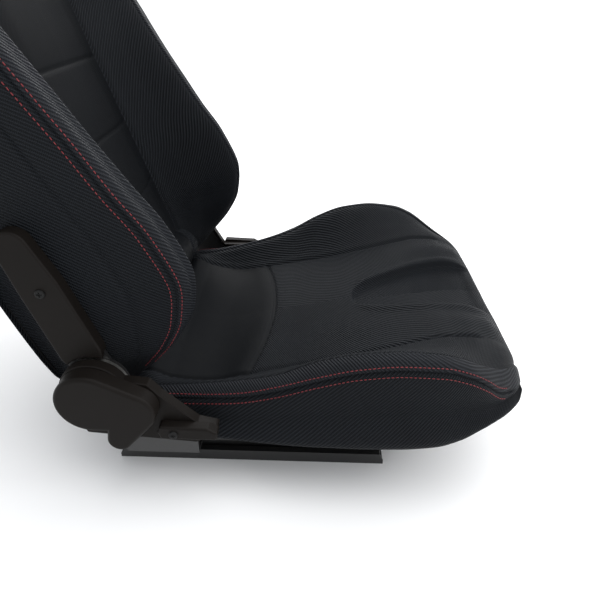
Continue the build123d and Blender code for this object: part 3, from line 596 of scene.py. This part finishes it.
def cushion_relief(x, y, column, run, run_all):
    """Height in mm of the seams, padding, tongue and tension waves."""
    top = column <= SEAM_B
    front_fade = 1 - ease(-y, *FRONT_FADE)
    full = sewn_length(y, SEAM_LENGTH)
    lift = seam(run, run_all, FOOT_SEAM, 4.0, 3.5) * sewn_length(y, FOOT_SEAM_LENGTH) * front_fade
    lift += seam(run, run_all, SEAM_A, 1.8, 2.0) * full * front_fade
    lift += seam(run, run_all, SEAM_B, 1.6, 2.2) * full
    lift += seam(run, run_all, HEM, 2.0, 1.2) * full
    for first, last, height in ((FOOT_SEAM, SEAM_A, 2.6), (SEAM_A, SEAM_B, 1.4), (SEAM_B, HEM, 2.4)):
        lift += swell(run, run_all, first, last, height) * front_fade
    # arc seam at the rear, with padding on both sides
    arc = y - arc_seam_y(x)
    sewn = groove(arc, 2.2, 3.0) + 1.8 * np.exp(-((np.abs(arc) - 14) / 16) ** 2)
    lift += np.where(top, sewn, 0) * (1 - ease(np.abs(x), *CENTRE_FADE))
    # tongue at the front: pressed floor, groove round it, swollen rim, lobe beside it
    edge = np.abs(x) - tongue_half_width(y)
    opens = ease(-y, TONGUE_TIP - 2, TONGUE_TIP + 3)
    closes = 1 - ease(-y, *TONGUE_CLOSES)
    inside = (1 - ease(edge, -4, 1)) * opens * closes
    lift += np.where(top, -TONGUE_DEPTH * inside, 0)
    lift += np.where(top, groove(edge - 1, 2.1, 6.0) * opens * closes, 0)
    rim = np.exp(-((edge - 11) / 9) ** 2) * ease(-y, TONGUE_TIP, TONGUE_TIP + 25)
    lift += np.where(top, 4.2 * (rim * (1 - ease(-y, 300, 345))), 0)
    lobe = np.exp(-((np.abs(x) - 112) / 26) ** 2) * ease(-y, 215, 290)
    lift += np.where(top, 4.0 * (lobe * (1 - ease(-y, 322, 350))), 0)
    # faint tension waves in the cover
    wave = 0.35 * np.sin(x / 23 + 1.7 * np.sin(y / 41)) * np.sin(y / 37 + 0.8 * np.sin(x / 29))
    return lift + wave * np.where(column < HEM, 1, 0)


def cushion():
    """Cushion cover over the centre pad and both bolsters. Returns what its stitching needs."""
    points = cushion_points()
    normals = grid_normals(points)
    if normals[len(points) // 2, 0, 2] < 0:
        normals = -normals
    x = points[:, :, 0] / MM
    y = points[:, :, 1] / MM
    column, run, run_all = measure_sections(points, CUSHION_SPLIT[-1])
    lift = cushion_relief(x, y, column, run, run_all)
    points = points + normals * (lift * MM)[:, :, None]
    x = points[:, :, 0] / MM
    y = points[:, :, 1] / MM
    piece = skin("cushion_cover", points, cushion_panels(x, y, column), False)
    for material in (CARBON, CARBON_MIRROR, SMOOTH, PAINTED_HIGHLIGHT_BAND):
        piece.data.materials.append(material)
    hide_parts("cushion_centre_pad", "cushion_bolster_left", "cushion_bolster_right")
    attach(piece, "seat_base")
    return points, normals, run


STITCH_OFFSETS = (-6.2, 6.2)    # distances of the stitch rows from their seam, mm
STITCH_LIFT = 0.0002


def seam_paths(points, normals, run, mark, first, last):
    """Paths beside a seam column on both sides of the seat, from the first row up to the last."""
    columns = points.shape[1]
    paths = []
    for side in (1, -1):
        for offset in STITCH_OFFSETS:
            path = []
            for r in range(first, last):
                target = run[r, mark] + offset
                place = np.interp(target, run[r], np.arange(run.shape[1]))
                low = int(np.floor(place))
                share = place - low
                a = low if side > 0 else (columns - low) % columns
                b = low + 1 if side > 0 else (columns - low - 1) % columns
                spot = points[r, a] * (1 - share) + points[r, b] * share
                up = normals[r, a] * (1 - share) + normals[r, b] * share
                path.append((spot + up * STITCH_LIFT, up))
            paths.append(path)
    return paths


def cushion_stitching(points, normals, run):
    """Red double row along seam B of the cushion."""
    ys = points[:, 0, 1] / MM
    first = int(np.argmax(ys < 150))
    last = int(np.argmax(ys < -322))
    paths = seam_paths(points, normals, run, SEAM_B, first, last)
    piece = stitches("cushion_red_stitching", paths, RED)
    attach(piece, "seat_base")


# ---------------------------------------------------------------- backrest
# stations up the back, all in millimetres: distances in front of the insert's face
BACK = {
    "s": (-24, -12, 4, 30, 60, 110, 165, 220, 270, 320, 370, 420, 470, 522, 572, 625, 690, 742, 765, 776),
    "insert": (-18, 0, 4, 6, 8, 9, 9, 8, 8, 7, 7, 6, 5, 4, 8, 12, 16, 14, 6, -30),
    "foot_x": (128, 130, 131, 131, 130, 130, 129, 128, 127, 126, 125, 124, 122, 118, 106, 92, 80, 72, 62, 40),
    "foot": (-22, -6, 0, 0, 0, 0, 0, 0, 0, 0, 0, 0, 0, 0, 4, 8, 12, 10, 2, -32),
    "crest_x": (182, 191, 198, 204, 206, 208, 208, 208, 209, 211,
                215, 222, 232, 236, 202, 148, 119, 108, 96, 60),
    "crest": (-12, 16, 41, 80, 108, 125, 118, 102, 89, 77, 66, 58, 60, 58, 48, 42, 38, 28, 10, -30),
    "seam_x": (198, 206, 213, 222, 227, 230, 231, 231, 231, 234,
               239, 246, 256, 257, 220, 164, 134, 123, 110, 68),
    "seam": (-18, 7, 31, 67, 94, 113, 107, 91, 79, 67, 56, 47, 48, 46, 37, 31, 27, 18, 2, -34),
    "outer_x": (200, 209, 216, 227, 231, 232, 232, 232, 234, 237,
                242, 249, 260, 260, 223, 167, 137, 126, 112, 70),
    "outer": (-26, -14, -10, 0, 6, 12, 10, 4, 0, -4, -8, -10, -12, -14, -16, -18, -20, -24, -30, -38),
    "rear_x": (194, 201, 207, 214, 218, 220, 221, 222, 224, 227,
               232, 239, 249, 249, 212, 157, 128, 117, 103, 64),
    "rear": (-42, -57, -74, -84, -84, -84, -84, -84, -84, -84,
             -84, -84, -84, -84, -84, -84, -84, -82, -70, -46),
}
BACK_ROWS = 340
EVEN_SHARE = 0.72               # share of evenly spaced rows
CROWDED_SHARE = 0.28            # share of rows crowded towards both ends
BACK_SPLIT = (0, 34, 62, 84, 104, 118, 136, 160, 184, 192, 206)     # columns at each control point
BACK_FOOT_SEAM = BACK_SPLIT[2]          # at the foot of the bolster
BACK_SEAM_A = BACK_SPLIT[4] + 2         # inside the crest
BACK_SEAM_B = BACK_SPLIT[6]             # stitched, outside the crest
BACK_REAR_SEAM = BACK_SPLIT[8] - 1      # along the rear edge of the side
BACK_SIDE_SEAM = BACK_SPLIT[6] + 14     # plain, behind the stitched one
BACK_SEAMS = (                          # column, width and depth in mm
    (BACK_FOOT_SEAM, 4.0, 3.2), (BACK_SEAM_A, 1.6, 1.6), (BACK_SEAM_B, 1.6, 2.2),
    (BACK_REAR_SEAM, 2.0, 1.4), (BACK_SIDE_SEAM, 1.8, 1.7),
)
BACK_SWELLS = (                         # from column to column, height in mm
    (BACK_FOOT_SEAM, BACK_SEAM_A, 3.2), (BACK_SEAM_A, BACK_SEAM_B, 1.4),
    (BACK_SEAM_B, BACK_REAR_SEAM, 1.6),
)
CROSS_STEP = 98.0
CROSS_SEAMS = (145.0, 243.0, 341.0, 439.0)
YOKE = 536.0                    # seam below the head section
BEZEL_LOW, BEZEL_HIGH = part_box("harness_bezel_left")
SLOT_X = (BEZEL_LOW.x + BEZEL_HIGH.x) / 2 / MM
SLOT_HALF_WIDTH = 30.0
SLOT_HALF_HEIGHT = 19.0
SLOT_S = 596.0                  # height of the harness slots up the back
FOOT_PULL = tuple(-UP_BACK * 0.003)     # bulges of the closed ends
TOP_PULL = tuple(UP_BACK * 0.004)


def back_point(x, along, forward):
    """Place in metres of a point given in mm across, up and in front of the backrest."""
    place = BACK_FOOT + UP_BACK * (along * MM) + OUT_BACK * (forward * MM)
    return (x * MM, place.y, place.z)


def back_points():
    """Closed sections of the back cover from foot to top, and the height of each up the back."""
    marks = np.array(BACK["s"], float)
    share = np.linspace(0, 1, BACK_ROWS)
    bottom = marks[0]
    top = marks[-1]
    eased = 0.5 - 0.5 * np.cos(share * math.pi)
    along = bottom + (top - bottom) * (EVEN_SHARE * share + CROWDED_SHARE * eased)
    value = {key: through(marks, BACK[key], along) for key in BACK if key != "s"}
    rows = []
    for k, s in enumerate(along):
        v = {key: column[k] for key, column in value.items()}
        wall = (v["foot_x"] * 0.5 + v["crest_x"] * 0.5, v["foot"] * 0.62 + v["crest"] * 0.38)
        shoulder = (v["crest_x"] - 14, v["crest"] - 3)
        half = half_section([
            (0, v["insert"]), (v["foot_x"] * 0.55, v["insert"] * 0.8 + v["foot"] * 0.2),
            (v["foot_x"], v["foot"]), wall, shoulder, (v["crest_x"], v["crest"]),
            (v["seam_x"], v["seam"]), (v["outer_x"], v["outer"]),
            (v["rear_x"] + 6, v["rear"] + 7), (v["rear_x"] - 4, v["rear"]), (0, v["rear"])],
            BACK_SPLIT)
        mirror = half[1:-1][::-1] * [-1, 1]
        rows.append([back_point(x, s, d) for x, d in np.concatenate([half, mirror])])
    points = close_ends(np.array(rows), FOOT_PULL, TOP_PULL)
    extra = len(END_ROWS)
    return points, np.concatenate([np.full(extra, along[0]), along, np.full(extra, along[-1])])


def back_relief(x, s, column, run, run_all):
    """Height in mm of the seams, padding and tension waves."""
    front = column <= BACK_SEAM_B
    live = ease(s, -10, 12) * (1 - ease(s, 735, 770))
    lift = np.zeros_like(x)
    for mark, width, depth in BACK_SEAMS:
        lift += seam(run, run_all, mark, width, depth) * live
    for first, last, height in BACK_SWELLS:
        lift += swell(run, run_all, first, last, height) * live
    # cross seams of the insert and the padding between them
    insert = (1 - ease(np.abs(x), 118, 130)) * np.where(front, 1, 0)
    for mark in CROSS_SEAMS:
        lift += groove(s - mark, 1.9, 2.8) * insert
    between = np.abs(np.sin((s - CROSS_SEAMS[0]) * math.pi / CROSS_STEP))
    pads = 2.2 * np.sqrt(between) * insert * ease(s, CROSS_SEAMS[0], CROSS_SEAMS[0] + 20)
    lift += pads * (1 - ease(s, CROSS_SEAMS[-1] - 20, CROSS_SEAMS[-1]))
    lift += np.where(front, groove(s - YOKE, 2.0, 2.6), 0)
    wave = 0.4 * np.sin(x / 27 + 1.5 * np.sin(s / 43)) * np.sin(s / 39 + 0.8 * np.sin(x / 31))
    return lift + wave * live * np.where(column < BACK_SPLIT[8], 1, 0)


def back_panels(x, s, column):
    """Panel numbers: 0 and 1 carbon with the ribs both ways, 2 smooth, 3 the crest strip between seams A and B in
    a lighter copy of the carbon vinyl, a painted highlight, -1 an open harness slot.
    """
    panel = np.where(x >= 0, 1, 0)
    panel = np.where((column < BACK_FOOT_SEAM) & (s < YOKE), 2, panel)
    # The crest strip between seams A and B takes the lighter vinyl as a painted highlight.
    highlight_band = (column >= BACK_SEAM_A) & (column < BACK_SEAM_B)
    panel = np.where(highlight_band, 3, panel)
    slot = (np.abs(np.abs(x) - SLOT_X) < SLOT_HALF_WIDTH) & (np.abs(s - SLOT_S) < SLOT_HALF_HEIGHT)
    return np.where(slot, -1, panel)


def back():
    """Back cover over the insert, both bolsters and the head pad. Returns what its stitching needs."""
    points, along = back_points()
    normals = grid_normals(points)
    if normals[len(points) // 2, 0, 1] > 0:
        normals = -normals
    x = points[:, :, 0] / MM
    s = np.repeat(along[:, None], points.shape[1], 1)
    column, run, run_all = measure_sections(points, BACK_SPLIT[-1])
    lift = back_relief(x, s, column, run, run_all)
    points = points + normals * (lift * MM)[:, :, None]
    piece = skin("back_cover", points, back_panels(x, s, column), True)
    for material in (CARBON, CARBON_MIRROR, SMOOTH, PAINTED_HIGHLIGHT_BAND):
        piece.data.materials.append(material)
    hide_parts("back_centre_pad", "back_bolster_left", "back_bolster_right", "head_pad")
    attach(piece, "backrest")
    return points, normals, run, along


def back_stitching(points, normals, run, along):
    """Red double row along the outer seam of the back."""
    first = int(np.argmax(along > 2))
    last = int(np.argmax(along > 742))
    paths = seam_paths(points, normals, run, BACK_SEAM_B, first, last)
    piece = stitches("back_red_stitching", paths, RED)
    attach(piece, "backrest")


ROLL_RADIUS = 40.6 * MM
ROLL_ROWS = 170
ROLL_SIDES = 72
ROLL_END = 0.022                # length of each rounded end
ROLL_SEAM = 0.129               # distance of the two sewn rings from the middle
ROLL_SEAM_DEPTH = 0.0028
ROLL_SEAM_WIDTH = 0.0026
PUCKER = 0.0006


def back_roll():
    """Padded lower end of the back: a long roll round the hinge line, pulled in where it is sewn."""
    low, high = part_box("back_roll")
    half = (high.x - low.x) / 2
    rows = []
    for k in range(ROLL_ROWS):
        # rows crowd towards the rounded ends
        x = -math.cos(math.pi * k / (ROLL_ROWS - 1))
        end = max(abs(x) * half - (half - ROLL_END), 0) / ROLL_END
        size = ROLL_RADIUS * math.sqrt(max(1 - end ** 2.2, 0.0004))
        sewn = abs(x) * half - ROLL_SEAM
        size -= ROLL_SEAM_DEPTH * math.exp(-(sewn / ROLL_SEAM_WIDTH) ** 2)
        beside = math.exp(-((abs(sewn) - 0.008) / 0.012) ** 2)
        row = []
        for c in range(ROLL_SIDES):
            angle = 2 * math.pi * c / ROLL_SIDES
            r = size + PUCKER * math.sin(9 * angle + 2.2 * math.sin(40 * x)) * beside
            row.append((x * half, PIVOT.y + r * math.cos(angle), PIVOT.z + r * math.sin(angle)))
        rows.append(row)
    points = np.array(rows)
    x = points[:, :, 0]
    panel = np.where(np.abs(x) < ROLL_SEAM, 2, np.where(x > 0, 1, 0))
    piece = skin("back_roll_cover", points, panel, True)
    for material in (CARBON, CARBON_MIRROR, SMOOTH):
        piece.data.materials.append(material)
    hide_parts("back_roll")
    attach(piece, "backrest")


WELT_RADIUS = 3.4 * MM
WELT_SIDES = 8
WELT_INSET = 6                  # from the outline of the side, mm
WELT_DEPTH = -86.0              # behind the insert's face, mm
WELT_FOOT = 14                  # heights of its lower and upper runs up the back, mm
WELT_TOP = 772


def rear_welt():
    """Piping sewn round the edge of the rear board, where it meets the cover."""
    marks = np.array(BACK["s"], float)
    places = np.linspace(WELT_FOOT, WELT_TOP, 150)
    half = through(marks, BACK["outer_x"], places) - WELT_INSET
    right = list(zip(half, places))
    across = np.linspace(1, -1, 40)[1:-1]
    top = [(half[-1] * a, places[-1]) for a in across]
    left = [(-x, s) for x, s in reversed(right)]
    bottom = [(-half[0] * a, places[0]) for a in across]
    loop = [Vector(back_point(x, s, WELT_DEPTH)) for x, s in right + top + left + bottom]
    vertices = []
    faces = []
    count = len(loop)
    for k, place in enumerate(loop):
        axis = (loop[(k + 1) % count] - loop[k - 1]).normalized()
        side = axis.cross(OUT_BACK).normalized()
        a = k * WELT_SIDES
        b = ((k + 1) % count) * WELT_SIDES
        for c in range(WELT_SIDES):
            angle = 2 * math.pi * c / WELT_SIDES
            reach = side * math.cos(angle) * WELT_RADIUS
            vertices.append(place + reach + OUT_BACK * math.sin(angle) * WELT_RADIUS)
            n = (c + 1) % WELT_SIDES
            faces.append([a + c, a + n, b + n, b + c])
    piece = new_object("rear_welt", vertices, faces)
    piece.data.materials.append(WELT)
    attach(piece, "backrest")


# ---------------------------------------------------------------- carried-over CAD nodes
COVER_SCREWS = ("arm_cover_screws", "lower_cover_screws")


def finish_cad_nodes():
    """Give every carried-over CAD node the finish of its slot; the cover screws are blackened."""
    slots = {row["node"]: row["material_slot"] for row in frame["record"]["subparts"]}
    finishes = {"black_plastic": PLASTIC, "black_steel": PAINT, "zinc_steel": PLATED,
                "panel_vinyl": PANEL, "carbon_vinyl": CARBON, "smooth_vinyl": SMOOTH}
    for name, node in frame["nodes"].items():
        node.data.materials.clear()
        node.data.materials.append(SCREW if name in COVER_SCREWS else finishes[slots[name]])


# ---------------------------------------------------------------- stage
FLOOR_HALF = 40.0
LAMPS = (                       # name, place, aim, size, power
    ("front_fill", (-0.9, -2.3, 1.7), (0, -0.1, 0.15), 1.5, 26),
    ("far_rim", (1.9, 0.2, 1.5), (0, 0, 0.3), 1.2, 22),
)


WORLD_COLOUR = (0.95, 0.97, 1.0, 1)
WORLD_STRENGTH = 0.82
SUN_FROM = Vector((0.35, -0.55, 1.6))
SUN_STRENGTH = 2.3
SUN_SPREAD = math.radians(75)


def aimed_lamp(name, data, place, aim):
    """A lamp object at a place, turned towards its aim."""
    lamp = bpy.data.objects.new(name, data)
    lamp.location = place
    lamp.rotation_euler = (Vector(aim) - Vector(place)).to_track_quat("-Z", "Y").to_euler()
    bpy.context.scene.collection.objects.link(lamp)


def studio():
    """Pale floor, pale world and soft lamps."""
    h = FLOOR_HALF
    floor = new_object("floor", [(-h, -h, 0), (h, -h, 0), (h, h, 0), (-h, h, 0)], [(0, 1, 2, 3)])
    floor.data.materials.append(FLOOR)
    world = bpy.data.worlds.new("studio")
    world.use_nodes = True
    background = world.node_tree.nodes["Background"]
    background.inputs["Color"].default_value = WORLD_COLOUR
    background.inputs["Strength"].default_value = WORLD_STRENGTH
    bpy.context.scene.world = world
    bpy.context.scene.view_settings.view_transform = "Standard"
    sun = bpy.data.lights.new("overhead", "SUN")
    sun.energy = SUN_STRENGTH
    sun.angle = SUN_SPREAD
    aimed_lamp("overhead", sun, SUN_FROM, (0, 0, 0))
    for name, place, aim, size, power in LAMPS:
        data = bpy.data.lights.new(name, "AREA")
        data.energy = power
        data.size = size
        aimed_lamp(name, data, place, aim)


CAMERA_PLACE = Vector((-0.727, -0.0778, 0.581))
CAMERA_PITCH = math.radians(31.41)      # below the horizon
CAMERA_YAW = math.radians(1.31)         # from +X towards +Y
CAMERA_ROLL = math.radians(0.65)
LENS = 31.47                            # mm, on a 36 mm sensor


def camera():
    """Camera above the occupant's right side, looking across the cushion."""
    pitch, yaw, roll = CAMERA_PITCH, CAMERA_YAW, CAMERA_ROLL
    forward = Vector((math.cos(yaw) * math.cos(pitch), math.sin(yaw) * math.cos(pitch), -math.sin(pitch)))
    level = Vector((math.sin(yaw), -math.cos(yaw), 0.0))
    upright = level.cross(forward)
    right = level * math.cos(roll) + upright * math.sin(roll)
    up = upright * math.cos(roll) - level * math.sin(roll)
    data = bpy.data.cameras.new("camera")
    data.sensor_width = 36.0
    data.lens = LENS
    viewer = bpy.data.objects.new("camera", data)
    basis = Matrix((right, up, -forward)).transposed().to_4x4()
    basis.translation = CAMERA_PLACE
    viewer.matrix_world = basis
    bpy.context.scene.collection.objects.link(viewer)
    bpy.context.scene.camera = viewer


finish_cad_nodes()
cushion_stitching(*cushion())
back_stitching(*back())
back_roll()
rear_welt()
studio()
camera()
